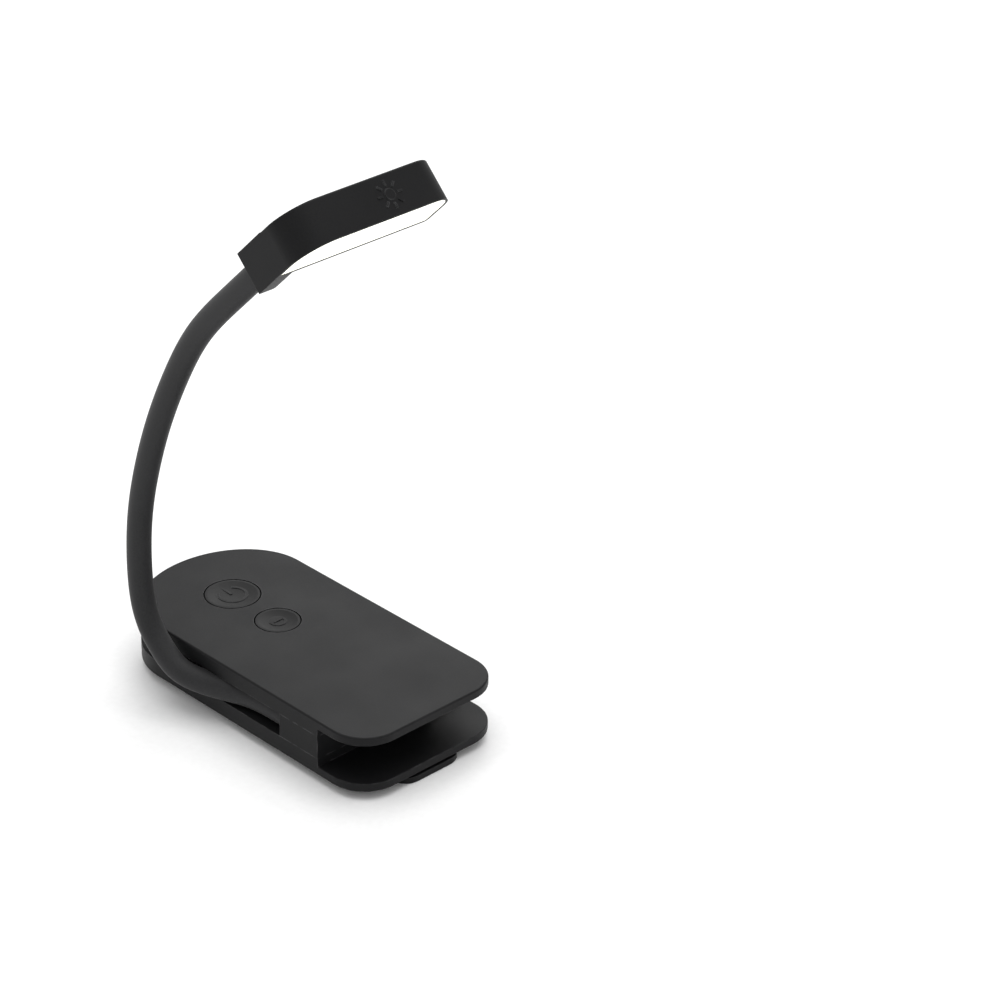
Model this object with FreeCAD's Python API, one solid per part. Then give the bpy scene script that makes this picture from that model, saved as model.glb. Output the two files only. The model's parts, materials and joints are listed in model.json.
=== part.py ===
import FreeCAD, Part
import math
import os

from FreeCAD import Vector

# Clip on reading lamp. Millimetres.
# +X points out of the base's open mouth, +Y across the base, +Z up.
# The origin is on the table, under the middle of the base.

# ---------------------------------------------------------------- driving sizes

# Base: a flat body with a round rear end, a channel round it that stows the neck,
# and a mouth across its front that stows the lamp head.
BASE_L = 81.5
BASE_W = 40.0
REAR_CURVE = 16.55        # how far the half-oval rear end runs forward
FRONT_R = 8.6
EDGE_R = 0.4              # softened outer edges
CLIP_DROP = 2.0           # room under the base that the page clip and the feet take
LOWER_PLATE_T = 2.0       # thin plates above and below the mouth
UPPER_PLATE_T = 1.95
UPPER_STEP = 1.65         # how much thicker the upper cover is behind the mouth
CHANNEL_ROOM = 0.15       # over the neck, in the channel's height
HUB_ROOM = 0.275          # between the stowed neck and the hub
MOUTH_ROOM = 0.2          # over the head, in the mouth's height
MOUTH_DEPTH = 13.35
BLOCK_LEN = 11.7          # full-width block behind the mouth
CHANNEL_DEPTH = 6.6
STUB_PASSAGE = 8.0        # way past the block for the stowed head's stub
WALL = 1.2
COVER_SKIN = 1.2

# Screws
SCREW_D = 1.6
SCREW_HEAD_D = 3.0
SCREW_HEAD_H = 0.9
POST_D = 4.2
REAR_SCREW_FROM_REAR, REAR_SCREW_Y = 10.75, 5.5
FRONT_SCREW_BACK = 5.9    # front screws, behind the mouth's back wall
FRONT_SCREW_ASIDE = 3.43  # and out from the charging socket's side

# Feet
FOOT_D = 6.0
FOOT_RECESS = 0.4
FOOT_FROM_REAR, FOOT_Y = 20.75, 12.0

# Buttons
POWER_D, POWER_FROM_REAR = 12.0, 18.25
TONE_D, TONE_FROM_REAR = 9.7, 33.0
BUTTON_GAP = 0.22
BUTTON_DISH = 0.3
BUTTON_FLANGE = 0.7
FLANGE_T = 0.35
BUTTON_TRAVEL = 0.3
SYMBOL_H = 0.15

# Electronics
BOARD_T = 0.8
CELL_T = 6.0
CELL_SIDE_ROOM = 1.7      # from the hub's wall to the cell, on each side
CELL_END_ROOM = 5.9       # from the cell to the block
BOARD_ROOM = 0.6          # from the block's far wall to the board
SWITCH_W, SWITCH_BODY_H = 4.0, 0.5
USB_W, USB_H, USB_L = 8.94, 3.2, 7.3
LIGHT_PIPE_D = 1.6
LEAD_D = 0.8

# Page clip: a sprung tongue under the base, flush with the front edge
CLIP_LEN = 50.0
CLIP_W = 17.0
CLIP_T = 1.5
CLIP_CORNER_R = 4.0
CLIP_PIN_D = 1.0
CLIP_EYE_D = 1.8
LUG_W = 2.0
SIDE_GAP = 0.3
SPRING_WIRE = 0.3
SPRING_PIN_ROOM = 0.32
SPRING_COIL_W = 3.0
SPRING_TURNS = 4.5
SPRING_ARM_L = 3.4
SPRING_ROOM = 5.0
PAD_T = 0.42

# Gooseneck
NECK_D = 5.25
NECK_SIDE_ROOM = 0.575    # between the standing neck and the base's side
CORE_D = 2.6
CORE_HOLE_D = 2.7
JOINT_GAP = 0.05          # between a dome and the hollow it turns in
SLEEVE_SETBACK = 0.9      # from a bend's centre to where the next sleeve begins
FERRULE_D, FERRULE_L = 4.0, 7.0
SLEEVE_IN_STUB = 5.0

# Lamp head, in its own frame: X along the bar, Y towards the outer wall, Z out of the panel
BAR_L = 38.0
BAR_W = 12.4
HEAD_T = 8.8
STUB_LEN = 7.3
STUB_OUT = 4.0            # from the neck's axis to the end wall
STUB_FLAT = 0.8           # where the stub's round side begins, from the axis
NECK_CORNER_R = 7.8
TIP_CORNER_R = 5.7
FAR_CORNER_R = 1.0
HEAD_WALL = 1.2
HEAD_RIM = 0.5
PANEL_T = 1.1
HEAD_TILT = 45.0

# ---------------------------------------------------------------- derived places

MOUTH_H = HEAD_T + MOUTH_ROOM
CHANNEL_H = NECK_D + CHANNEL_ROOM
UPPER_T = UPPER_PLATE_T + UPPER_STEP
LOWER_T = LOWER_PLATE_T + MOUTH_H - UPPER_STEP - CHANNEL_H
Z_BOTTOM = CLIP_DROP
Z_LOWER = Z_BOTTOM + LOWER_T
Z_UPPER = Z_LOWER + CHANNEL_H
Z_TOP = Z_UPPER + UPPER_T
Z_ROOF = Z_TOP - COVER_SKIN
Z_NECK = (Z_LOWER + Z_UPPER) / 2
Z_BOARD_TOP = Z_UPPER + BOARD_T
REAR_X, FRONT_X = -BASE_L / 2, BASE_L / 2
SIDE_Y = BASE_W / 2
MOUTH_X = FRONT_X - MOUTH_DEPTH
BLOCK_X = MOUTH_X - BLOCK_LEN
BLOCK_FAR_Y = SIDE_Y - STUB_PASSAGE
HUB_IN = CHANNEL_DEPTH + WALL
NECK_INSET = CHANNEL_DEPTH - NECK_D / 2 - HUB_ROOM    # neck's axis at its root, in from the side
NECK_OUT = NECK_D / 2 + NECK_SIDE_ROOM                # and where it stands, out from the side
NECK_Y = -SIDE_Y + NECK_INSET
CELL_X = REAR_X + REAR_CURVE
CELL_L = BLOCK_X - CELL_X - CELL_END_ROOM
CELL_W = 2 * (SIDE_Y - HUB_IN - CELL_SIDE_ROOM)
FOOT_X = REAR_X + FOOT_FROM_REAR
REAR_SCREW_X = REAR_X + REAR_SCREW_FROM_REAR
CLIP_PIN_X = FRONT_X - CLIP_LEN
CLIP_PIN_Z = Z_BOTTOM / 2
BOARD_HALF_W = BLOCK_FAR_Y - WALL - BOARD_ROOM
USB_Z = Z_UPPER - USB_H / 2
LIGHT_PIPE_Y = -USB_W / 2 - LIGHT_PIPE_D
FRONT_SCREW_X = MOUTH_X - FRONT_SCREW_BACK
FRONT_SCREW_Y = USB_W / 2 + FRONT_SCREW_ASIDE
SCREWS = [(x, side * y)
          for x, y in ((REAR_SCREW_X, REAR_SCREW_Y), (FRONT_SCREW_X, FRONT_SCREW_Y))
          for side in (-1, 1)]
BUTTONS = {"power": (REAR_X + POWER_FROM_REAR, POWER_D),
           "tone": (REAR_X + TONE_FROM_REAR, TONE_D)}
FAR = 500.0

# Neck's course, chosen by hand: forward of the block's rear face, out from the base's
# side, and above the channel's middle. It leaves the channel, swings out past the
# upper cover and rises in one plane beside the base, leaning forward at the top.
NECK_COURSE = [
    (0, -NECK_INSET, 0), (-12.1, -3.0, 0.04), (-24.0, NECK_OUT - 1.8, 0.3),
    (-28.9, NECK_OUT - 0.3, 1.6),
    (-33.4, NECK_OUT, 4.5), (-36.8, NECK_OUT, 7.9), (-38.9, NECK_OUT, 12.2),
    (-39.9, NECK_OUT, 18.2), (-40.0, NECK_OUT, 25.0), (-39.1, NECK_OUT, 34.3),
    (-36.1, NECK_OUT, 46.6), (-31.6, NECK_OUT, 59.0), (-25.7, NECK_OUT, 71.3),
    (-18.2, NECK_OUT, 83.4), (-8.0, NECK_OUT, 94.6), (2.0, NECK_OUT, 104.6),
]
# Where the neck bends, as lengths along it from the block's rear face.
BENDS = [43.0, 61.0, 79.0, 97.0, 115.0, 133.0]


# ---------------------------------------------------------------- helpers

def box(x0, x1, y0, y1, z0, z1):
    return Part.makeBox(x1 - x0, y1 - y0, z1 - z0, Vector(x0, y0, z0))


def post(x, y, z0, z1, d):
    return Part.makeCylinder(d / 2, z1 - z0, Vector(x, y, z0))


def rod_y(x, z, y0, y1, d):
    return Part.makeCylinder(d / 2, y1 - y0, Vector(x, y0, z), Vector(0, 1, 0))


def rod_x(y, z, x0, x1, d):
    return Part.makeCylinder(d / 2, x1 - x0, Vector(x0, y, z), Vector(1, 0, 0))


def joined(shapes):
    first, rest = shapes[0], shapes[1:]
    return first.multiFuse(rest).removeSplitter() if rest else first


def arc(centre, r, a0, a1):
    """Circular edge in a level plane, from angle a0 to a1 in degrees."""
    points = [centre + Vector(r * math.cos(math.radians(a)), r * math.sin(math.radians(a)), 0)
              for a in (a0, (a0 + a1) / 2, a1)]
    return Part.Arc(*points).toShape()


def rear_arc(centre, half_w, depth):
    """Half oval from the +Y side round the rear to the -Y side."""
    side, rear = Vector(0, half_w, 0), Vector(-depth, 0, 0)
    if half_w > depth:
        oval = Part.Ellipse(centre + side, centre + rear, centre)
        return Part.ArcOfEllipse(oval, 0, math.pi).toShape()
    oval = Part.Ellipse(centre + rear, centre - side, centre)
    return Part.ArcOfEllipse(oval, -math.pi / 2, math.pi / 2).toShape()


def base_slab(inset, z0, z1, x_end=None):
    """The base's outline, pulled in by inset and cut square at x_end if it is given."""
    half_w, depth = SIDE_Y - inset, REAR_CURVE - inset
    front, r = FRONT_X - inset, max(FRONT_R - inset, 0.8)
    start = Vector(REAR_X + REAR_CURVE, 0, z0)
    low = Vector(front - r, -half_w + r, z0)
    high = Vector(front - r, half_w - r, z0)
    edges = [
        rear_arc(start, half_w, depth),
        Part.makeLine(start + Vector(0, -half_w, 0), low + Vector(0, -r, 0)),
        arc(low, r, -90, 0),
        Part.makeLine(low + Vector(r, 0, 0), high + Vector(r, 0, 0)),
        arc(high, r, 0, 90),
        Part.makeLine(high + Vector(0, r, 0), start + Vector(0, half_w, 0)),
    ]
    slab = Part.Face(Part.Wire(edges)).extrude(Vector(0, 0, z1 - z0))
    if x_end is not None:
        slab = slab.common(box(-FAR, x_end, -FAR, FAR, -FAR, FAR))
    return slab


def rounded(shape, r, at_height, keep_out_x=None):
    """Fillet the level edges at a height, but not the one across x = keep_out_x."""
    edges = [e for e in shape.Edges
             if abs(e.BoundBox.ZMin - at_height) < 1e-4 and e.BoundBox.ZLength < 1e-4
             and not (keep_out_x is not None and abs(e.CenterOfMass.x - keep_out_x) < 1e-3)]
    return shape.makeFillet(r, edges)


# ---------------------------------------------------------------- base shells

def inner_space(z0, z1):
    """Room inside the hub and the block, between their walls."""
    return joined([
        base_slab(HUB_IN, z0, z1, BLOCK_X + 1),
        box(BLOCK_X, MOUTH_X - WALL, HUB_IN - SIDE_Y, BLOCK_FAR_Y - WALL, z0, z1),
    ])


def upper_cover():
    """Top shell, with the thin plate over the mouth and the two button holes."""
    plate_z = Z_TOP - UPPER_PLATE_T
    shell = joined([base_slab(0, Z_UPPER, Z_TOP, MOUTH_X), base_slab(0, plate_z, Z_TOP)])
    shell = rounded(shell, EDGE_R, Z_TOP)
    shell = rounded(shell, EDGE_R / 2, plate_z, MOUTH_X)
    pocket_in = CHANNEL_DEPTH + 0.3
    shell = shell.cut(joined([
        base_slab(pocket_in, Z_UPPER, Z_ROOF, BLOCK_X + 1),
        box(BLOCK_X, MOUTH_X - WALL, -BOARD_HALF_W - 0.2, BOARD_HALF_W + 0.2, Z_UPPER, Z_ROOF),
    ]))
    for x, d in BUTTONS.values():
        shell = shell.cut(post(x, 0, Z_ROOF - 1, Z_TOP + 1, d + 2 * BUTTON_GAP))
    bosses = [post(x, y, Z_BOARD_TOP, Z_ROOF + 0.2, POST_D - 0.6) for x, y in SCREWS]
    shell = joined([shell] + bosses)
    for x, y in SCREWS:
        shell = shell.cut(post(x, y, Z_UPPER, Z_ROOF, SCREW_D))
    return shell


def middle_body():
    """Hub and block between the covers: the hub's step in from the outline is the
    channel, and the block holds the neck's root and the charging socket."""
    block = box(BLOCK_X, MOUTH_X, -SIDE_Y, BLOCK_FAR_Y, Z_LOWER, Z_UPPER)
    body = joined([base_slab(CHANNEL_DEPTH, Z_LOWER, Z_UPPER, BLOCK_X + 1), block])
    body = body.cut(inner_space(Z_LOWER, Z_UPPER))
    body = body.cut(box(BLOCK_X + FERRULE_L + 1, MOUTH_X - WALL, -SIDE_Y + WALL,
                        HUB_IN - SIDE_Y + 0.1, Z_LOWER, Z_UPPER))
    body = joined([body] + [post(x, y, Z_LOWER, Z_UPPER, POST_D) for x, y in SCREWS]
                  + [box(FRONT_SCREW_X, MOUTH_X - WALL / 2, y - WALL / 2, y + WALL / 2,
                         Z_LOWER, Z_UPPER) for y in (-FRONT_SCREW_Y, FRONT_SCREW_Y)])
    for x, y in SCREWS:
        body = body.cut(post(x, y, Z_LOWER, Z_UPPER, SCREW_D + 0.2))
    body = body.cut(rod_x(NECK_Y, Z_NECK, BLOCK_X - 1, BLOCK_X + FERRULE_L + 2, FERRULE_D))
    usb_gap = 0.1
    body = body.cut(box(MOUTH_X - WALL - 1, MOUTH_X + 1, -USB_W / 2 - usb_gap,
                        USB_W / 2 + usb_gap, USB_Z - USB_H / 2 - usb_gap, Z_UPPER + 1))
    return body.cut(rod_x(LIGHT_PIPE_Y, Z_NECK, MOUTH_X - WALL - 1, MOUTH_X + 1,
                          LIGHT_PIPE_D + 0.1))


def lower_cover():
    """Bottom shell, with the thin plate under the mouth, the screw wells, recesses
    for the feet and two lugs for the page clip's pin."""
    plate_z = Z_BOTTOM + LOWER_PLATE_T
    shell = joined([base_slab(0, Z_BOTTOM, Z_LOWER, MOUTH_X), base_slab(0, Z_BOTTOM, plate_z)])
    shell = rounded(shell, EDGE_R, Z_BOTTOM)
    shell = rounded(shell, EDGE_R / 2, plate_z, MOUTH_X)
    shell = shell.cut(inner_space(Z_BOTTOM + WALL, Z_LOWER))
    shell = joined([shell] + [post(x, y, Z_BOTTOM + WALL, Z_LOWER, POST_D) for x, y in SCREWS])
    for x, y in SCREWS:
        shell = shell.cut(post(x, y, Z_BOTTOM - 1, Z_LOWER + 1, SCREW_D + 0.2))
        shell = shell.cut(post(x, y, Z_BOTTOM - 1, Z_BOTTOM + SCREW_HEAD_H + 0.1,
                               SCREW_HEAD_D + 0.2))
    for side in (-1, 1):
        shell = shell.cut(post(FOOT_X, side * FOOT_Y, Z_BOTTOM - 1, Z_BOTTOM + FOOT_RECESS,
                               FOOT_D + 0.1))
    lugs = []
    for side in (-1, 1):
        inner = side * (CLIP_W / 2 + SIDE_GAP)
        y0, y1 = sorted((inner, inner + side * LUG_W))
        lugs.append(rod_y(CLIP_PIN_X, CLIP_PIN_Z, y0, y1, CLIP_EYE_D))
        lugs.append(box(CLIP_PIN_X - CLIP_EYE_D / 2, CLIP_PIN_X + CLIP_EYE_D / 2, y0, y1,
                        CLIP_PIN_Z, Z_BOTTOM + 0.2))
    shell = joined([shell] + lugs)
    return shell.cut(rod_y(CLIP_PIN_X, CLIP_PIN_Z, -SIDE_Y, SIDE_Y, CLIP_PIN_D))


def housing_screws():
    """Four pan-head screws, up through the three shells."""
    head_z = Z_BOTTOM + 0.1
    tip_z = Z_ROOF - 0.2
    return Part.makeCompound([
        post(x, y, head_z, head_z + SCREW_HEAD_H, SCREW_HEAD_D)
        .fuse(post(x, y, head_z + SCREW_HEAD_H, tip_z, SCREW_D))
        .cut(box(x - 1, x + 1, y - 0.2, y + 0.2, head_z - 1, head_z + 0.4))
        for x, y in SCREWS])


def rear_feet():
    """Two rubber discs stuck into recesses, level with the page clip's underside."""
    feet = []
    for side in (-1, 1):
        foot = post(FOOT_X, side * FOOT_Y, 0, Z_BOTTOM + FOOT_RECESS, FOOT_D)
        feet.append(rounded(foot, 0.4, 0))
    return Part.makeCompound(feet)


# ---------------------------------------------------------------- buttons

def ring_stroke(x, z0, z1, r, width, gap_angle, facing):
    """Open ring with a gap of gap_angle degrees centred on the facing angle."""
    ring = post(x, 0, z0, z1, 2 * r + width).cut(post(x, 0, z0, z1, 2 * r - width))
    half = math.radians(gap_angle / 2)
    reach = 2 * r
    corners = [Vector(x, 0, z0)]
    corners += [Vector(x + reach * math.cos(math.radians(facing) + a),
                       reach * math.sin(math.radians(facing) + a), z0) for a in (-half, half)]
    wedge = Part.Face(Part.makePolygon(corners + corners[:1])).extrude(Vector(0, 0, z1 - z0))
    return ring.cut(wedge)


def button(name):
    """Dished cap with a raised symbol, and a flange that keeps it under the cover."""
    x, d = BUTTONS[name]
    flange_top = Z_ROOF - 0.02
    cap = joined([post(x, 0, flange_top - FLANGE_T, Z_TOP, d),
                  post(x, 0, flange_top - FLANGE_T, flange_top, d + 2 * BUTTON_FLANGE)])
    cap = rounded(cap, 0.15, Z_TOP)
    rim_r = d / 2 - 0.6
    ball_r = (rim_r ** 2 + BUTTON_DISH ** 2) / (2 * BUTTON_DISH)
    ball = Part.makeSphere(ball_r, Vector(x, 0, Z_TOP - BUTTON_DISH + ball_r))
    cap = cap.cut(ball)
    z0 = Z_TOP - BUTTON_DISH - 0.2
    symbol_top = Z_TOP - BUTTON_DISH + SYMBOL_H
    stroke = 0.55
    if name == "power":
        r = 0.255 * d
        symbol = [ring_stroke(x, z0, symbol_top + 0.05, r, stroke, 70, 180),
                  box(x - 1.3 * r, x - 0.1 * r, -stroke / 2, stroke / 2, z0, symbol_top)]
    else:
        r = 0.17 * d
        dot = post(x, 0, z0, symbol_top, 2 * r + stroke).cut(post(x, 0, z0, symbol_top,
                                                                  2 * r - stroke))
        half = post(x, 0, z0, symbol_top, 2 * r).common(box(x - r, x, -r, r, z0, symbol_top))
        symbol = [dot, half]
    return joined([cap] + symbol)


def tact_switch(name):
    """Low dome switch under a button, its plunger just touching at full reach."""
    x, _ = BUTTONS[name]
    plunger_top = Z_ROOF - 0.02 - FLANGE_T - 0.01
    body = box(x - SWITCH_W / 2, x + SWITCH_W / 2, -SWITCH_W / 2, SWITCH_W / 2,
               Z_BOARD_TOP, Z_BOARD_TOP + SWITCH_BODY_H)
    return body.fuse(post(x, 0, Z_BOARD_TOP, plunger_top - BUTTON_TRAVEL, 2.0))


# ---------------------------------------------------------------- electronics

def control_board():
    """Board that rests on the hub's rim and runs forward over the socket."""
    board = joined([
        base_slab(CHANNEL_DEPTH + 0.4, Z_UPPER, Z_BOARD_TOP, BLOCK_X),
        box(BLOCK_X - 1, MOUTH_X - WALL - 0.1, -BOARD_HALF_W, BOARD_HALF_W, Z_UPPER, Z_BOARD_TOP),
    ])
    for x, y in SCREWS:
        board = board.cut(post(x, y, Z_UPPER, Z_BOARD_TOP, SCREW_D + 0.4))
    return board


def control_chip():
    x = BLOCK_X + 1.0
    return box(x, x + 4, -2, 2, Z_BOARD_TOP, Z_BOARD_TOP + 0.9)


def battery():
    """Flat pouch cell in the hub, with its folded seal at the front."""
    x0, z0 = CELL_X, Z_BOTTOM + WALL + 0.1
    cell = box(x0, x0 + CELL_L, -CELL_W / 2, CELL_W / 2, z0, z0 + CELL_T)
    cell = cell.makeFillet(1.2, [e for e in cell.Edges if e.BoundBox.XLength > CELL_L - 1])
    return cell.fuse(box(x0 + CELL_L - 0.1, x0 + CELL_L + 2, -CELL_W / 2 + 1, CELL_W / 2 - 1,
                         z0 + CELL_T / 2, z0 + CELL_T / 2 + 0.5))


def usb_c_port():
    """USB-C receptacle, facing out of the mouth's back wall."""
    x0, r = MOUTH_X - USB_L, USB_H / 2 - 0.01

    def oblong(width, height, xa, xb):
        ends = [rod_x(side * (width - height) / 2, USB_Z, xa, xb, height) for side in (-1, 1)]
        middle = box(xa, xb, -(width - height) / 2, (width - height) / 2,
                     USB_Z - height / 2, USB_Z + height / 2)
        return joined(ends + [middle])

    shell = oblong(USB_W, 2 * r, x0, MOUTH_X)
    mouth = oblong(USB_W - 0.6, 2 * r - 0.6, x0 + 1, MOUTH_X + 1)
    tongue = box(x0 + 0.5, MOUTH_X - 1.4, -3.3, 3.3, USB_Z - 0.35, USB_Z + 0.35)
    return shell.cut(mouth).fuse(tongue)


def charge_light_pipe():
    """Clear rod through the mouth's back wall, over the charge LED."""
    return rod_x(LIGHT_PIPE_Y, Z_NECK, MOUTH_X - WALL - 1.5, MOUTH_X, LIGHT_PIPE_D)


def leads(points, offsets):
    """Wires side by side on one smooth course, out along +X and ending upright."""
    out = []
    for offset in offsets:
        curve = Part.BSplineCurve()
        curve.interpolate(Points=[Vector(*p) + offset for p in points],
                          InitialTangent=Vector(1, 0, 0), FinalTangent=Vector(0, 0, 1))
        ring = Part.Wire(Part.makeCircle(LEAD_D / 2, curve.value(curve.FirstParameter),
                                         Vector(1, 0, 0)))
        out.append(Part.Wire(curve.toShape()).makePipeShell([ring], True, False))
    return Part.makeCompound(out)


def battery_leads():
    """Two leads from the cell's front edge up to the board."""
    x = CELL_X + CELL_L + 2.02
    z = Z_BOTTOM + WALL + 0.1 + CELL_T / 2 + 0.25
    course = [(x, 0, z), (x + 1.6, 0, z + 1.6), (x + 1.8, 0, Z_UPPER - 0.05)]
    return leads(course, [Vector(0, -1.2, 0), Vector(0, 1.2, 0)])


def neck_leads():
    """Two leads from the neck's ferrule across the block to the board."""
    x = BLOCK_X + FERRULE_L + 0.02
    y = -BOARD_HALF_W
    course = [(x, NECK_Y, Z_NECK - 0.6), (x + 1.9, NECK_Y + 2.4, Z_NECK - 0.6),
              (x + 2.2, y + 0.3, Z_NECK + 0.4), (x + 2.2, y + 0.6, Z_UPPER - 0.05)]
    return leads(course, [Vector(0, -0.5, 0), Vector(0, 0.5, 0)])


# ---------------------------------------------------------------- page clip

def page_clip():
    """Tongue with rounded front corners, and an eye at its rear for the pin."""
    r, half = CLIP_CORNER_R, CLIP_W / 2
    low, high = Vector(FRONT_X - r, r - half, 0), Vector(FRONT_X - r, half - r, 0)
    a, b = Vector(CLIP_PIN_X, -half, 0), Vector(CLIP_PIN_X, half, 0)
    outline = Part.Wire([
        Part.makeLine(a, low + Vector(0, -r, 0)), arc(low, r, -90, 0),
        Part.makeLine(low + Vector(r, 0, 0), high + Vector(r, 0, 0)), arc(high, r, 0, 90),
        Part.makeLine(high + Vector(0, r, 0), b), Part.makeLine(b, a)])
    tongue = Part.Face(outline).extrude(Vector(0, 0, CLIP_T))
    tongue = rounded(tongue, 0.3, 0, CLIP_PIN_X)
    clip = joined([tongue, rod_y(CLIP_PIN_X, CLIP_PIN_Z, -half, half, CLIP_EYE_D)])
    clip = clip.cut(rod_y(CLIP_PIN_X, CLIP_PIN_Z, -half - 1, half + 1, CLIP_PIN_D + 0.06))
    room = SPRING_ROOM / 2
    return clip.cut(box(CLIP_PIN_X - 2, CLIP_PIN_X + 5.5, -room, room, -1, Z_BOTTOM))


def page_clip_pad():
    """Rubber strip on the tongue; it closes the gap and is the clip's rest stop."""
    pad = box(FRONT_X - 11, FRONT_X - 5, -CLIP_W / 2 + 2, CLIP_W / 2 - 2, CLIP_T, CLIP_T + PAD_T)
    return rounded(pad, 0.15, CLIP_T + PAD_T)


def page_clip_pin():
    half = CLIP_W / 2 + SIDE_GAP + LUG_W
    return rod_y(CLIP_PIN_X, CLIP_PIN_Z, -half, half, CLIP_PIN_D)


def page_clip_spring():
    """Torsion spring on the pin, wound in one length of wire and drawn relaxed: both arms
    leave the coil forward, one over the other, and lie free in the tongue's cutout."""
    mean_r = (CLIP_PIN_D + SPRING_PIN_ROOM + SPRING_WIRE) / 2
    helix = Part.makeHelix(SPRING_COIL_W / SPRING_TURNS, SPRING_COIL_W, mean_r)
    across = FreeCAD.Placement(Vector(0, SPRING_COIL_W / 2, 0),
                               FreeCAD.Rotation(Vector(1, 0, 0), 90))
    quarter = FreeCAD.Placement(Vector(), FreeCAD.Rotation(Vector(0, 0, 1), 90))
    helix.Placement = across.multiply(quarter)
    turns = Part.Wire(helix.Edges).OrderedEdges
    first, last = turns[0], turns[-1]
    start, start_way = first.valueAt(first.FirstParameter), first.tangentAt(first.FirstParameter)
    end, end_way = last.valueAt(last.LastParameter), last.tangentAt(last.LastParameter)
    foot = start - start_way * SPRING_ARM_L
    path = Part.Wire([Part.makeLine(foot, start)] + turns
                     + [Part.makeLine(end, end + end_way * SPRING_ARM_L)])
    ring = Part.Wire(Part.makeCircle(SPRING_WIRE / 2, foot, start_way))
    spring = path.makePipeShell([ring], True, False)
    spring.translate(Vector(CLIP_PIN_X, 0, CLIP_PIN_Z))
    return spring


# ---------------------------------------------------------------- gooseneck

def neck_curve():
    curve = Part.BSplineCurve()
    points = [Vector(BLOCK_X + dx, -SIDE_Y - dy, Z_NECK + dz) for dx, dy, dz in NECK_COURSE]
    end = Vector(math.cos(math.radians(HEAD_TILT)), 0, math.sin(math.radians(HEAD_TILT)))
    curve.interpolate(Points=points, InitialTangent=Vector(-1, 0, 0), FinalTangent=end)
    return curve


NECK = neck_curve()
NECK_EDGE = NECK.toShape()
NECK_END = NECK.value(NECK.LastParameter)


def along(s):
    """Parameter of the neck's curve at a length from the block's rear face."""
    if s <= 0:
        return NECK.FirstParameter
    if s >= NECK_EDGE.Length:
        return NECK.LastParameter
    return NECK_EDGE.getParameterByLength(s)


def neck_pipe(s0, s1, d):
    """Round pipe that follows the neck from length s0 to s1. Where the neck rises in one
    plane, its section is kept square to that plane."""
    u0, u1 = along(s0), along(s1)
    path = Part.Wire(NECK.toShape(u0, u1))
    sweep = Part.BRepOffsetAPI.MakePipeShell(path)
    if abs(NECK.value(u0).y - NECK.value(u1).y) < 0.3:
        sweep.setBiNormalMode(Vector(0, 1, 0))
    else:
        sweep.setFrenetMode(False)
    sweep.add(Part.Wire(Part.makeCircle(d / 2, NECK.value(u0), NECK.tangent(u0)[0])))
    sweep.build()
    sweep.makeSolid()
    return sweep.shape()


def neck_span(i):
    """Start and end lengths of the stretch of neck number i, counted from 0."""
    stops = [0.0] + BENDS + [NECK_EDGE.Length]
    return stops[i], stops[i + 1]


def neck_core_span(i):
    s0, s1 = neck_span(i)
    start = s0 + NECK_D / 2 + 0.6 if i > 0 else s0
    end = s1 - 0.6 if i < len(BENDS) else s1
    return start, end


def neck_ball(s, r):
    u = along(s)
    return Part.makeSphere(r, NECK.value(u), NECK.tangent(u)[0])


def gooseneck_sleeve(i):
    """One stretch of silicone sleeve. It ends in a dome, and the next begins in a
    matching hollow, so the neck can bend there about the dome's centre."""
    s0, s1 = neck_span(i)
    sleeve = neck_pipe(s0 + (SLEEVE_SETBACK if i > 0 else 0), s1, NECK_D)
    if i < len(BENDS):
        sleeve = sleeve.fuse(neck_ball(s1, NECK_D / 2))
    else:
        sleeve = sleeve.fuse(Part.makeCylinder(NECK_D / 2, SLEEVE_IN_STUB, NECK_END,
                                               NECK.tangent(NECK.LastParameter)[0]))
    if i > 0:
        sleeve = sleeve.cut(neck_ball(s0, NECK_D / 2 + JOINT_GAP))
    c0, c1 = neck_core_span(i)
    sleeve = sleeve.cut(neck_pipe(c0, c1, CORE_HOLE_D))
    if i == len(BENDS):
        sleeve = sleeve.cut(Part.makeCylinder(CORE_HOLE_D / 2, SLEEVE_IN_STUB + 1, NECK_END,
                                              NECK.tangent(NECK.LastParameter)[0]))
    return sleeve


def gooseneck_core(i):
    """Steel core inside one stretch of the sleeve."""
    c0, c1 = neck_core_span(i)
    return neck_pipe(c0, c1, CORE_D)


def neck_root_ferrule():
    """Steel crimp that holds the core's end in the block's bore."""
    return rod_x(NECK_Y, Z_NECK, BLOCK_X + 0.05, BLOCK_X + FERRULE_L, FERRULE_D)


# ---------------------------------------------------------------- lamp head

def head_outline(inset, z):
    """Bar's outline: big corner at the neck's end, smaller one at the tip."""
    x0, x1 = -STUB_OUT + inset, BAR_L - STUB_OUT - inset
    y0, y1 = STUB_LEN + inset, STUB_LEN + BAR_W - inset
    rn, rt = NECK_CORNER_R - inset, TIP_CORNER_R - inset
    rf = max(FAR_CORNER_R - inset, 0.3)
    neck, tip = Vector(x0 + rn, y1 - rn, z), Vector(x1 - rt, y1 - rt, z)
    far = Vector(x1 - rf, y0 + rf, z)
    root = Vector(x0, y0, z)
    return Part.Face(Part.Wire([
        Part.makeLine(root, neck - Vector(rn, 0, 0)), arc(neck, rn, 180, 90),
        Part.makeLine(neck + Vector(0, rn, 0), tip + Vector(0, rt, 0)), arc(tip, rt, 90, 0),
        Part.makeLine(tip + Vector(rt, 0, 0), far + Vector(rf, 0, 0)), arc(far, rf, 0, -90),
        Part.makeLine(far - Vector(0, rf, 0), root)]))


def head_slab(inset, z0, z1):
    return head_outline(inset, z0).extrude(Vector(0, 0, z1 - z0))


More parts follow.
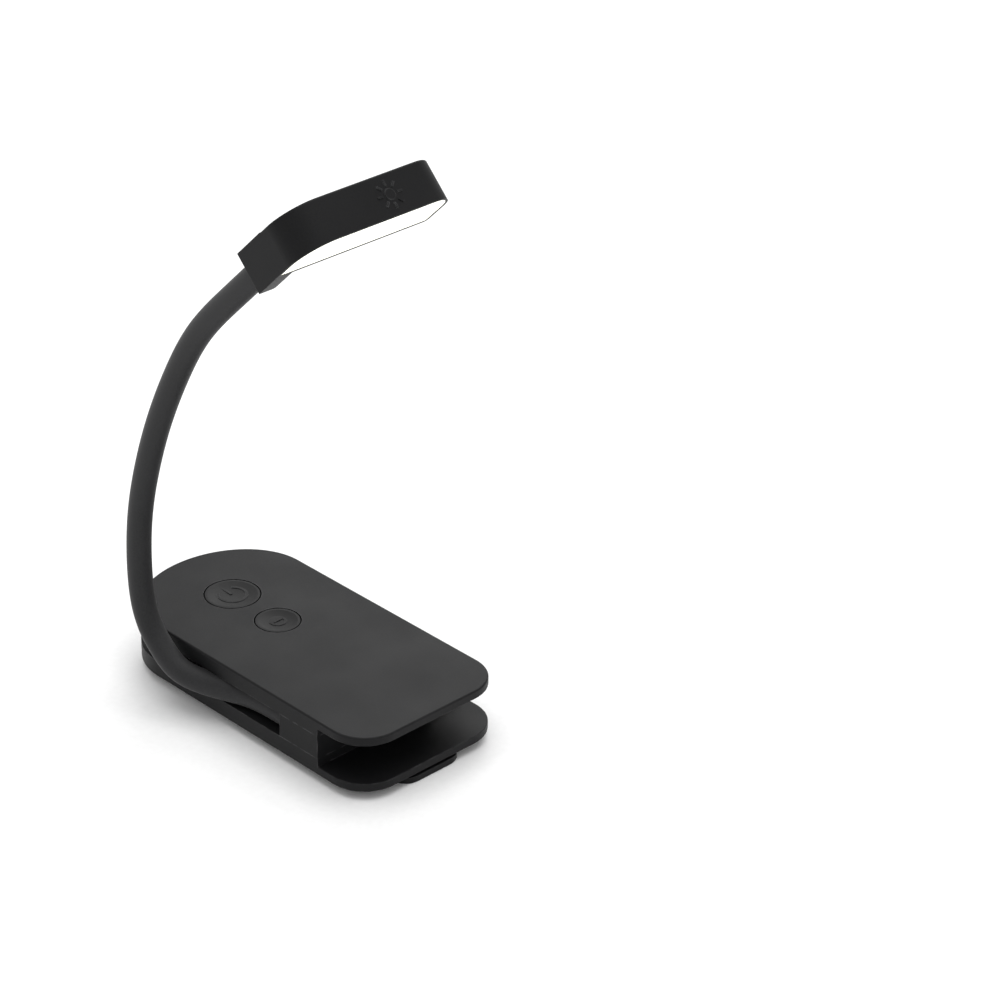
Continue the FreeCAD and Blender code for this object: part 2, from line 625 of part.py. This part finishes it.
def in_place(shape):
    """Carry a head piece from the head's own frame to the neck's end."""
    lean = math.radians(HEAD_TILT)
    c, s = math.cos(lean), math.sin(lean)
    matrix = FreeCAD.Matrix(0, c, s, NECK_END.x,
                            1, 0, 0, NECK_END.y,
                            0, s, -c, NECK_END.z, 0, 0, 0, 1)
    shape = shape.copy()
    shape.Placement = FreeCAD.Placement(matrix)
    return shape


PANEL_Z = HEAD_T / 2 - 0.1            # the panel's face, just inside the rim
LED_Z = -HEAD_T / 2 + HEAD_WALL


def sun_symbol():
    """Small raised sun on the head's outer wall: a disc and eight rays."""
    x, y = BAR_L / 2 + 0.3, STUB_LEN + BAR_W
    disc = rod_y(x, 0, y - 0.3, y + 0.2, 2.4)
    shapes = [disc]
    for k in range(8):
        ray = box(1.8, 3.0, y - 0.3, y + 0.2, -0.22, 0.22)
        ray.rotate(Vector(0, 0, 0), Vector(0, 1, 0), 45 * k)
        ray.translate(Vector(x, 0, 0))
        shapes.append(ray)
    return shapes


def head_housing():
    """Bar shell, open at the panel's face, with a D-shaped stub for the neck."""
    half = HEAD_T / 2
    bar = head_slab(0, -half, half)
    bar = rounded(bar, 0.45, -half)
    stub = box(-STUB_OUT, -STUB_FLAT, 0, STUB_LEN + 2, -half, half)
    stub = stub.fuse(rod_y(-STUB_FLAT, 0, 0, STUB_LEN + 2, HEAD_T)).common(
        box(-STUB_OUT, FAR, 0, FAR, -half, half))
    shell = joined([bar, stub.removeSplitter()])
    shell = shell.cut(head_slab(HEAD_RIM, PANEL_Z - PANEL_T, half + 1))
    shell = shell.cut(head_slab(HEAD_WALL, LED_Z, half))
    shell = shell.cut(rod_y(0, 0, -1, SLEEVE_IN_STUB + 0.1, NECK_D + 0.1))
    shell = shell.cut(rod_y(0, 0, 0, STUB_LEN + HEAD_WALL + 1, FERRULE_D))
    return joined([shell] + sun_symbol())


def head_ferrule():
    """Steel crimp that holds the core's other end in the stub."""
    return rod_y(0, 0, SLEEVE_IN_STUB + 0.1, STUB_LEN + HEAD_WALL + 1, FERRULE_D)


def diffuser_panel():
    """Opal sheet that fills the head's open face inside the rim."""
    return head_slab(HEAD_RIM + 0.05, PANEL_Z - PANEL_T + 0.02, PANEL_Z)


def led_board():
    """Thin board on the housing's back, as long as the bar's straight part."""
    x0 = NECK_CORNER_R - STUB_OUT
    x1 = BAR_L - STUB_OUT - TIP_CORNER_R
    mid = STUB_LEN + BAR_W / 2
    return box(x0, x1, mid - 3, mid + 3, LED_Z, LED_Z + 0.8)


def leds(row):
    """Four LEDs of one colour, spaced along the board; row 0 warm, row 1 cool."""
    x0 = NECK_CORNER_R - STUB_OUT + 2.5
    pitch = (BAR_L - TIP_CORNER_R - NECK_CORNER_R - 6.5) / 7
    mid = STUB_LEN + BAR_W / 2
    return Part.makeCompound([
        box(x0 + k * pitch - 0.8, x0 + k * pitch + 0.8, mid - 0.9, mid + 0.9,
            LED_Z + 0.8, LED_Z + 1.5)
        for k in range(row, 8, 2)])


def reflector_liner():
    """White liner round the walls, between the board's level and the panel."""
    z0, z1 = LED_Z + 1.6, PANEL_Z - PANEL_T - 0.02
    liner = head_slab(HEAD_WALL + 0.05, z0, z1).cut(head_slab(HEAD_WALL + 0.65, z0, z1))
    return liner.cut(rod_y(0, 0, 0, STUB_LEN + HEAD_WALL + 2, FERRULE_D + 0.2))


# ---------------------------------------------------------------- all the pieces

def pieces():
    parts = {
        "upper_cover": upper_cover(),
        "middle_body": middle_body(),
        "lower_cover": lower_cover(),
        "housing_screws": housing_screws(),
        "rear_feet": rear_feet(),
        "power_button": button("power"),
        "tone_button": button("tone"),
        "power_switch": tact_switch("power"),
        "tone_switch": tact_switch("tone"),
        "control_board": control_board(),
        "control_chip": control_chip(),
        "battery": battery(),
        "usb_c_port": usb_c_port(),
        "charge_light_pipe": charge_light_pipe(),
        "battery_leads": battery_leads(),
        "neck_leads": neck_leads(),
        "page_clip": page_clip(),
        "page_clip_pad": page_clip_pad(),
        "page_clip_pin": page_clip_pin(),
        "page_clip_spring": page_clip_spring(),
        "neck_root_ferrule": neck_root_ferrule(),
        "head_housing": in_place(head_housing()),
        "head_ferrule": in_place(head_ferrule()),
        "diffuser_panel": in_place(diffuser_panel()),
        "led_board": in_place(led_board()),
        "warm_leds": in_place(leds(0)),
        "cool_leds": in_place(leds(1)),
        "reflector_liner": in_place(reflector_liner()),
    }
    for i in range(len(BENDS) + 1):
        parts["gooseneck_sleeve_%d" % (i + 1)] = gooseneck_sleeve(i)
        parts["gooseneck_core_%d" % (i + 1)] = gooseneck_core(i)
    return parts


os.makedirs("parts", exist_ok=True)
for name, shape in pieces().items():
    shape.exportStep("parts/%s.step" % name)
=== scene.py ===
import json
import math

import bpy
import numpy as np
from mathutils import Matrix, Vector


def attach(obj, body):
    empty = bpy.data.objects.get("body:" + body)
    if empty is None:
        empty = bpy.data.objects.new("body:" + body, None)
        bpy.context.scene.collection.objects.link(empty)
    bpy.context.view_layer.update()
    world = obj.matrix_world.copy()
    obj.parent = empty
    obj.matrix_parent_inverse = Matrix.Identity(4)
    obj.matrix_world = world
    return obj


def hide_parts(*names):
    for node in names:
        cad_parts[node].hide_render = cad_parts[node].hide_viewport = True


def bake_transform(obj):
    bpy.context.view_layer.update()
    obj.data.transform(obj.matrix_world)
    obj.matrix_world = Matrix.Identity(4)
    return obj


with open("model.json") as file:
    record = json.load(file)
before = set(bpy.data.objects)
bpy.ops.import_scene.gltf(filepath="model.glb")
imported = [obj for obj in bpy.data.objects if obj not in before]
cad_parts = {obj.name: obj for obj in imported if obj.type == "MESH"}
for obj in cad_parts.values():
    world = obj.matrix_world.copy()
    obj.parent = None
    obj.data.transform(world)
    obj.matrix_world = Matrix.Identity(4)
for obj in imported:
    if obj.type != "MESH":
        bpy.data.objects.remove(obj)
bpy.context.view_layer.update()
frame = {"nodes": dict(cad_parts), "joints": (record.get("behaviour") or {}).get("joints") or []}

# Clip on reading lamp. Metres: +X out of the base's mouth, +Y across the base, +Z up.
MM = 0.001


# ---------------------------------------------------------------- base covers
# The two covers and the body between them are injection moulded ABS, screwed together
# from below. The mould is spark eroded, so the black plastic has a fine matte grain.

def linear(colour, alpha=1.0):
    """sRGB hex, such as "#2b2b2c", to the linear colour that a shader takes."""
    parts = [int(colour[i:i + 2], 16) / 255 for i in (1, 3, 5)]
    return [c / 12.92 if c <= 0.04045 else ((c + 0.055) / 1.055) ** 2.4 for c in parts] + [alpha]


def add(material, kind, sockets=None, **settings):
    """Adds one node. A socket's value is a number or colour, or another node's output."""
    node = material.node_tree.nodes.new(kind)
    for name, value in settings.items():
        setattr(node, name, value)
    for name, value in (sockets or {}).items():
        if isinstance(value, bpy.types.NodeSocket):
            material.node_tree.links.new(value, node.inputs[name])
        else:
            node.inputs[name].default_value = value
    return node


def surface(name, dark, light, patch, grain, depth, rough, stretch=(1, 1, 1), **shader):
    """Material whose colour drifts from dark to light over patch mm, with grain of that
    size in mm and depth in mm, and a roughness that varies with the grain."""
    material = bpy.data.materials.new(name)
    material.use_nodes = True
    nodes = material.node_tree.nodes
    principled = nodes["Principled BSDF"]
    for socket, value in shader.items():
        principled.inputs[socket.replace("_", " ")].default_value = value
    place = add(material, "ShaderNodeTexCoord").outputs["Object"]
    place = add(material, "ShaderNodeMapping",
                {"Vector": place, "Scale": stretch}).outputs["Vector"]
    cloud = add(material, "ShaderNodeTexNoise",
                {"Vector": place, "Scale": 1 / (patch * MM), "Detail": 3.0}).outputs["Fac"]
    fine = add(material, "ShaderNodeTexNoise",
               {"Vector": place, "Scale": 1 / (grain * MM), "Detail": 2.0}).outputs["Fac"]
    both = add(material, "ShaderNodeMath", {0: cloud, 1: fine}, operation="ADD").outputs[0]
    share = add(material, "ShaderNodeMapRange",
                {"Value": both, "From Min": 0.7, "From Max": 1.3}).outputs["Result"]
    colour = add(material, "ShaderNodeMix", {"Factor": share}, data_type="RGBA")
    colour.inputs[6].default_value, colour.inputs[7].default_value = linear(dark), linear(light)
    dull = add(material, "ShaderNodeMapRange",
               {"Value": both, "From Min": 0.7, "From Max": 1.3,
                "To Min": rough - 0.06, "To Max": rough + 0.06}).outputs["Result"]
    relief = add(material, "ShaderNodeBump",
                 {"Height": fine, "Strength": 0.6, "Distance": depth * MM}).outputs["Normal"]
    links = material.node_tree.links
    links.new(colour.outputs[2], principled.inputs["Base Color"])
    links.new(dull, principled.inputs["Roughness"])
    links.new(relief, principled.inputs["Normal"])
    return material


def rubbed_and_highlit_edges(material, radius, colour, rough):
    """Edges sharper than radius mm are rubbed lighter and smoother, in patches; the lighter colour
    is also a painted highlight along the rounded rims.
    """
    tree = material.node_tree
    principled = tree.nodes["Principled BSDF"]
    soft = add(material, "ShaderNodeBevel", {"Radius": radius * MM}, samples=4).outputs["Normal"]
    face = add(material, "ShaderNodeNewGeometry").outputs["Normal"]
    turn = add(material, "ShaderNodeVectorMath", {0: soft, 1: face}, operation="DOT_PRODUCT")
    edge = add(material, "ShaderNodeMapRange",
               {"Value": turn.outputs["Value"],
                "From Min": 0.985, "From Max": 0.86}).outputs["Result"]
    place = add(material, "ShaderNodeTexCoord").outputs["Object"]
    rub = add(material, "ShaderNodeTexNoise",
              {"Vector": place, "Scale": 1 / (2.5 * MM), "Detail": 4.0}).outputs["Fac"]
    rub = add(material, "ShaderNodeMapRange",
              {"Value": rub, "From Min": 0.38, "From Max": 0.66}).outputs["Result"]
    # Mask of rubbed wear and of the painted edge highlight, in patches.
    rub_and_highlight = add(material, "ShaderNodeMath", {0: edge, 1: rub}, operation="MULTIPLY").outputs[0]
    clean = principled.inputs["Base Color"].links[0].from_socket
    mixed = add(material, "ShaderNodeMix", {"Factor": rub_and_highlight}, data_type="RGBA")
    tree.links.new(clean, mixed.inputs[6])
    mixed.inputs[7].default_value = linear(colour)
    tree.links.new(mixed.outputs[2], principled.inputs["Base Color"])
    dull = principled.inputs["Roughness"].links[0].from_socket
    smooth = add(material, "ShaderNodeMix", {"Factor": rub_and_highlight, "A": dull, "B": rough})
    tree.links.new(smooth.outputs[0], principled.inputs["Roughness"])
    return material


def paint(material, *names):
    """Gives a material to carried-over pieces."""
    for name in names:
        mesh = frame["nodes"][name].data
        mesh.materials.clear()
        mesh.materials.append(material)
        for polygon in mesh.polygons:
            polygon.material_index = 0


# Black ABS, spark grain about 0.1 mm, drawn at 0.3 mm to show: an even soft sheen. The
# specular level is below a smooth face's, set for the covers' dull black.
# Its edges are painted lighter: rubbed wear, and a painted highlight along the rounded rims.
abs_black = rubbed_and_highlit_edges(
    surface("spark_grained_black_ABS", "#101011", "#171718", 14, 0.3, 0.012, 0.47, IOR=1.54,
            Specular_IOR_Level=0.13),
    0.35, "#4a4a4b", 0.36)
paint(abs_black, "upper_cover", "middle_body", "lower_cover")

# Machine screws, blackened zinc: dark metal with turning marks across the heads.
zinc_black = surface("blackened_zinc_screw", "#3d3d40", "#58585c", 1.2, 0.12, 0.004, 0.38,
                     Metallic=1.0)
paint(zinc_black, "housing_screws")

# Foot rubber, moulded nitrile: dead matte, a little dusty.
nitrile = surface("moulded_black_nitrile", "#161616", "#222222", 3, 0.25, 0.02, 0.82, IOR=1.52)
paint(nitrile, "rear_feet", "page_clip_pad")


# ---------------------------------------------------------------- buttons
# Two ABS caps in holes of the upper cover, moulded in one with their raised symbols.
# Their tops are dished, and handling has polished them a little more than the cover.

abs_button = rubbed_and_highlit_edges(
    surface("polished_black_ABS_button", "#0c0c0c", "#121213", 9, 0.25, 0.008, 0.40, IOR=1.54,
            Specular_IOR_Level=0.1),
    0.2, "#3f3f40", 0.32)
paint(abs_button, "power_button", "tone_button")

# Tact switches under the caps: glossy black nylon.
nylon = surface("moulded_black_nylon", "#0d0d0d", "#1a1a1a", 2, 0.1, 0.003, 0.28, IOR=1.53)
paint(nylon, "power_switch", "tone_switch")


# ---------------------------------------------------------------- page clip
# A sprung tongue of acetal under the base, on a ground steel pin through two lugs.
# Acetal is waxier than ABS, with a softer sheen.

acetal = rubbed_and_highlit_edges(
    surface("moulded_black_acetal", "#101010", "#171718", 11, 0.35, 0.010, 0.42, IOR=1.48,
            Specular_IOR_Level=0.15),
    0.3, "#373738", 0.34)
paint(acetal, "page_clip")

# Ground steel pin, its grinding marks running round it.
pin_steel = surface("ground_steel_pin", "#8b8c8e", "#b4b5b6", 2, 0.08, 0.003, 0.30,
                    stretch=(1, 6, 1), Metallic=1.0)
paint(pin_steel, "page_clip_pin")

# Spring wire, drawn and lightly oiled: dark streaks along the coil.
spring_steel = surface("drawn_spring_steel", "#5e5f61", "#8f9092", 1.5, 0.1, 0.004, 0.36,
                       stretch=(1, 1, 4), Metallic=1.0)
paint(spring_steel, "page_clip_spring")


# ---------------------------------------------------------------- inside the base
# Circuit board, its chip, a pouch cell, the USB-C shell and a clear light pipe.
# Most of it shows only through the mouth's back wall or with a cover off.

# FR4 under green solder mask: glossy, with the weave just showing through.
solder_mask = surface("green_solder_mask", "#0b3d22", "#155a33", 5, 0.5, 0.010, 0.30, IOR=1.5,
                      Coat_Weight=0.3)
paint(solder_mask, "control_board")
epoxy = surface("moulded_black_epoxy", "#101011", "#1b1b1c", 1, 0.08, 0.006, 0.62, IOR=1.55)
paint(epoxy, "control_chip")
# Laminated aluminium pouch: bright, soft creases a few millimetres long.
pouch = surface("laminated_pouch_foil", "#a9abae", "#cfd1d3", 6, 3.0, 0.12, 0.34, Metallic=1.0)
paint(pouch, "battery")
# Drawn steel shell under bright nickel.
nickel = surface("drawn_nickel_shell", "#9c9a95", "#c3c1bb", 2, 0.15, 0.003, 0.26,
                 stretch=(4, 1, 1), Metallic=1.0)
paint(nickel, "usb_c_port")
acrylic = surface("clear_acrylic_pipe", "#dfe6e6", "#f3f7f7", 3, 0.4, 0.002, 0.12, IOR=1.49,
                  Transmission_Weight=0.85)
paint(acrylic, "charge_light_pipe")
# PVC insulation, extruded: smooth red, scuffed dull in places.
pvc = surface("extruded_red_PVC", "#7c1410", "#a3221a", 4, 0.3, 0.006, 0.40, IOR=1.53)
paint(pvc, "battery_leads", "neck_leads")


# ---------------------------------------------------------------- gooseneck
# A silicone sleeve over an annealed steel core, crimped at both ends. The sleeve is one
# smooth tube, so each length of it that crosses a bend turns softly between two stretches.

NECK_R, BORE_R = 2.625 * MM, 1.36 * MM
SLEEVE_IN_STUB = 5.0 * MM
END_MARGIN = 9.0 * MM    # past the first and the last bend, to the rigid lengths
COURSE = [  # mm, from the block's rear face to the head, the same course as the frame's neck
    (15.7, -16.3, 8.65), (3.6, -17.0, 8.69), (-8.3, -21.4, 8.95), (-13.2, -22.9, 10.25),
    (-17.7, -23.2, 13.15), (-21.1, -23.2, 16.55), (-23.2, -23.2, 20.85), (-24.2, -23.2, 26.85),
    (-24.3, -23.2, 33.65), (-23.4, -23.2, 42.95), (-20.4, -23.2, 55.25), (-15.9, -23.2, 67.65),
    (-10.0, -23.2, 79.95), (-2.5, -23.2, 92.05), (7.7, -23.2, 103.25), (17.7, -23.2, 113.25)]
START_WAY, END_WAY = (-1, 0, 0), (math.sqrt(0.5), 0, math.sqrt(0.5))


def smooth_course(points, first, last, steps=60):
    """Points along the cubic spline through points, leaving and arriving along two ways."""
    p = np.array(points, float) * MM
    h = np.linalg.norm(np.diff(p, axis=0), axis=1)
    n = len(p)
    a, b = np.eye(n), np.zeros((n, 3))
    b[0], b[-1] = first, last
    for i in range(1, n - 1):
        a[i, i - 1:i + 2] = h[i], 2 * (h[i - 1] + h[i]), h[i - 1]
        b[i] = 3 * (h[i - 1] * (p[i + 1] - p[i]) / h[i] + h[i] * (p[i] - p[i - 1]) / h[i - 1])
    m = np.linalg.solve(a, b)
    out = []
    for i in range(n - 1):
        t = np.linspace(0, 1, steps, endpoint=i == n - 2)[:, None]
        out.append((2 * t**3 - 3 * t**2 + 1) * p[i] + (t**3 - 2 * t**2 + t) * h[i] * m[i]
                   + (3 * t**2 - 2 * t**3) * p[i + 1] + (t**3 - t**2) * h[i] * m[i + 1])
    return np.vstack(out)


line = smooth_course(COURSE, START_WAY, END_WAY)
line = np.vstack([line, line[-1] + np.array(END_WAY) * SLEEVE_IN_STUB])
reach = np.concatenate([[0], np.cumsum(np.linalg.norm(np.diff(line, axis=0), axis=1))])


def at(s):
    """Point on the neck's axis at a length from the block."""
    return np.array([np.interp(s, reach, line[:, k]) for k in range(3)])


def tube(name, s0, s1, step=0.5 * MM, sides=40):
    """Closed length of sleeve from s0 to s1: outer wall, bore, and a flat ring at each end."""
    count = max(2, round((s1 - s0) / step) + 1)
    verts, faces = [], []
    across = np.array([0.0, 1.0, 0.0])
    for s in np.linspace(s0, s1, count):
        way = at(min(s + 0.2 * MM, reach[-1])) - at(max(s - 0.2 * MM, 0))
        way /= np.linalg.norm(way)
        out = np.cross(across, way)
        out /= np.linalg.norm(out)
        side = np.cross(way, out)
        for r in (NECK_R, BORE_R):
            for k in range(sides):
                a = 2 * math.pi * k / sides
                verts.append(at(s) + r * (math.cos(a) * out + math.sin(a) * side))
    ring = 2 * sides
    for i in range(count - 1):
        for k in range(sides):
            j = (k + 1) % sides
            a, b = i * ring, (i + 1) * ring
            faces.append((a + k, a + j, b + j, b + k))
            faces.append((a + sides + j, a + sides + k, b + sides + k, b + sides + j))
    for k in range(sides):
        j, b = (k + 1) % sides, (count - 1) * ring
        faces.append((k, sides + k, sides + j, j))
        faces.append((b + k, b + j, b + sides + j, b + sides + k))
    mesh = bpy.data.meshes.new(name)
    mesh.from_pydata([tuple(v) for v in verts], [], faces)
    for polygon in mesh.polygons:
        polygon.use_smooth = polygon.index < 2 * sides * (count - 1)
    mesh.update()
    for edge in mesh.edges:  # the flat ends stay crisp, so neighbouring lengths meet unseen
        a, b = edge.vertices
        edge.use_edge_sharp = (a // ring == b // ring and a // ring in (0, count - 1))
    piece = bpy.data.objects.new(name, mesh)
    bpy.context.scene.collection.objects.link(piece)
    return piece


# Silicone, moulded matte then powdered: a soft velvet sheen and no hard glint.
silicone = surface("matte_grey_silicone", "#232324", "#2c2c2d", 10, 0.4, 0.015, 0.56, IOR=1.41,
                   Specular_IOR_Level=0.25, Sheen_Weight=0.06, Sheen_Roughness=0.5)

bends = [j for j in frame["joints"] if j["name"].startswith("neck_")]


def length_at(point):
    """Length along the neck of the nearest place to a point."""
    return float(reach[np.argmin(np.linalg.norm(line - np.array(point), axis=1))])


stops = [length_at(j["pos_m"]) for j in bends]
mids = [(a + b) / 2 for a, b in zip(stops, stops[1:])]
cuts = [0.0, stops[0] - END_MARGIN, *mids, stops[-1] + END_MARGIN, reach[-1]]
for i, (s0, s1) in enumerate(zip(cuts, cuts[1:])):
    sleeve = tube(f"silicone_sleeve_{i + 1}", s0, s1)
    sleeve.data.materials.append(silicone)
    if 0 < i <= len(bends):
        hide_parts(f"gooseneck_sleeve_{i}")
        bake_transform(sleeve)
    elif i == 0:
        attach(sleeve, "base")
    else:
        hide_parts(f"gooseneck_sleeve_{i}")
        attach(sleeve, "head")

# Annealed steel wire, dull grey, with draw marks along it.
core_steel = surface("annealed_steel_core", "#6b6b6a", "#8a8a88", 4, 0.2, 0.006, 0.46,
                     stretch=(1, 1, 0.3), Metallic=1.0)
paint(core_steel, *[f"gooseneck_core_{k}" for k in range(1, 8)])
# Crimped ferrules, nickel plated.
paint(surface("nickel_plated_crimp", "#a3a19c", "#c0beb8", 2, 0.2, 0.006, 0.30, Metallic=1.0),
      "neck_root_ferrule", "head_ferrule")


# ---------------------------------------------------------------- lamp head
# An ABS bar shell with a raised sun on its outer wall. An opal acrylic sheet fills its
# open face and glows evenly; behind it are the LED board and a white liner.

paint(abs_black, "head_housing")

# Opal acrylic, lit from behind: pale cream, uneven by a shade over about 9 mm.
opal = surface("lit_opal_acrylic", "#fbfaf0", "#fffef6", 12, 0.6, 0.004, 0.34, IOR=1.49)
shader = opal.node_tree.nodes["Principled BSDF"]
glow = add(opal, "ShaderNodeTexNoise",
           {"Vector": add(opal, "ShaderNodeTexCoord").outputs["Object"], "Scale": 1 / (9 * MM)})
warm = add(opal, "ShaderNodeMix", {"Factor": glow.outputs["Fac"]}, data_type="RGBA")
warm.inputs[6].default_value, warm.inputs[7].default_value = linear("#fefde6"), linear("#fffff0")
opal.node_tree.links.new(warm.outputs[2], shader.inputs["Emission Color"])
shader.inputs["Emission Strength"].default_value = 0.9
paint(opal, "diffuser_panel")

# White solder mask and phosphor: the warm row is amber, the cool row pale yellow.
paint(surface("white_solder_mask", "#dedfdb", "#f0f0ec", 4, 0.5, 0.006, 0.32, IOR=1.5), "led_board")
paint(surface("amber_phosphor", "#e6b85a", "#f2cd78", 0.8, 0.1, 0.006, 0.35, IOR=1.45), "warm_leds")
paint(surface("pale_phosphor", "#ece6a8", "#f6f1bf", 0.8, 0.1, 0.006, 0.35, IOR=1.45), "cool_leds")
paint(surface("white_reflector_PC", "#e6e6e4", "#f4f4f2", 8, 0.3, 0.004, 0.30, IOR=1.58),
      "reflector_liner")


# ---------------------------------------------------------------- floor and light
# Seamless white sweep paper under broad soft boxes, as for a catalogue picture.

paper = surface("white_sweep_paper", "#f6f6f6", "#fbfbfb", 120, 1.5, 0.01, 0.9, IOR=1.5)
floor_mesh = bpy.data.meshes.new("floor")
FLOOR = 6.0  # metres, half the sheet's width
floor_mesh.from_pydata([(-FLOOR, -FLOOR, 0), (FLOOR, -FLOOR, 0),
                        (FLOOR, FLOOR, 0), (-FLOOR, FLOOR, 0)], [], [(0, 1, 2, 3)])
floor_mesh.materials.append(paper)
floor = bpy.data.objects.new("floor", floor_mesh)
bpy.context.scene.collection.objects.link(floor)

world = bpy.data.worlds.new("studio")
bpy.context.scene.world = world
world.use_nodes = True
world.node_tree.nodes["Background"].inputs["Color"].default_value = (1, 1, 1, 1)
world.node_tree.nodes["Background"].inputs["Strength"].default_value = 0.74


def soft_box(name, place, size, power):
    """Square area light that faces the lamp."""
    light = bpy.data.lights.new(name, "AREA")
    light.size, light.energy = size, power
    lamp = bpy.data.objects.new(name, light)
    lamp.location = place
    way = Vector((0, 0, 0.05)) - Vector(place)
    lamp.rotation_euler = way.to_track_quat("-Z", "Y").to_euler()
    bpy.context.scene.collection.objects.link(lamp)


soft_box("overhead", (0.0, 0.05, 1.0), 1.0, 5.9)
soft_box("behind", (-0.62, 0.8, 0.62), 0.6, 2.6)


# ---------------------------------------------------------------- camera
# A long lens, seen from the mouth's end and the gooseneck's side, a little over 29 degrees up.

AZIMUTH, ELEVATION, ROLL = (math.radians(a) for a in (45.380, 29.164, 0.987))
camera_data = bpy.data.cameras.new("camera")
camera_data.sensor_width, camera_data.lens = 36.0, 122.87
camera_data.clip_start = 0.01
camera = bpy.data.objects.new("camera", camera_data)
back = Vector((math.cos(ELEVATION) * math.sin(AZIMUTH),
               -math.cos(ELEVATION) * math.cos(AZIMUTH), math.sin(ELEVATION)))
right = Vector((math.cos(AZIMUTH), math.sin(AZIMUTH), 0))
up = back.cross(right)
turned = right * math.cos(ROLL) + up * math.sin(ROLL)
up = back.cross(turned)
EYE = Vector((463.55, -399.82, 388.83)) * MM
camera.matrix_world = Matrix.Translation(EYE) @ Matrix((turned, up, back)).transposed().to_4x4()
bpy.context.scene.collection.objects.link(camera)
bpy.context.scene.camera = camera
bpy.context.scene.view_settings.view_transform = "Standard"
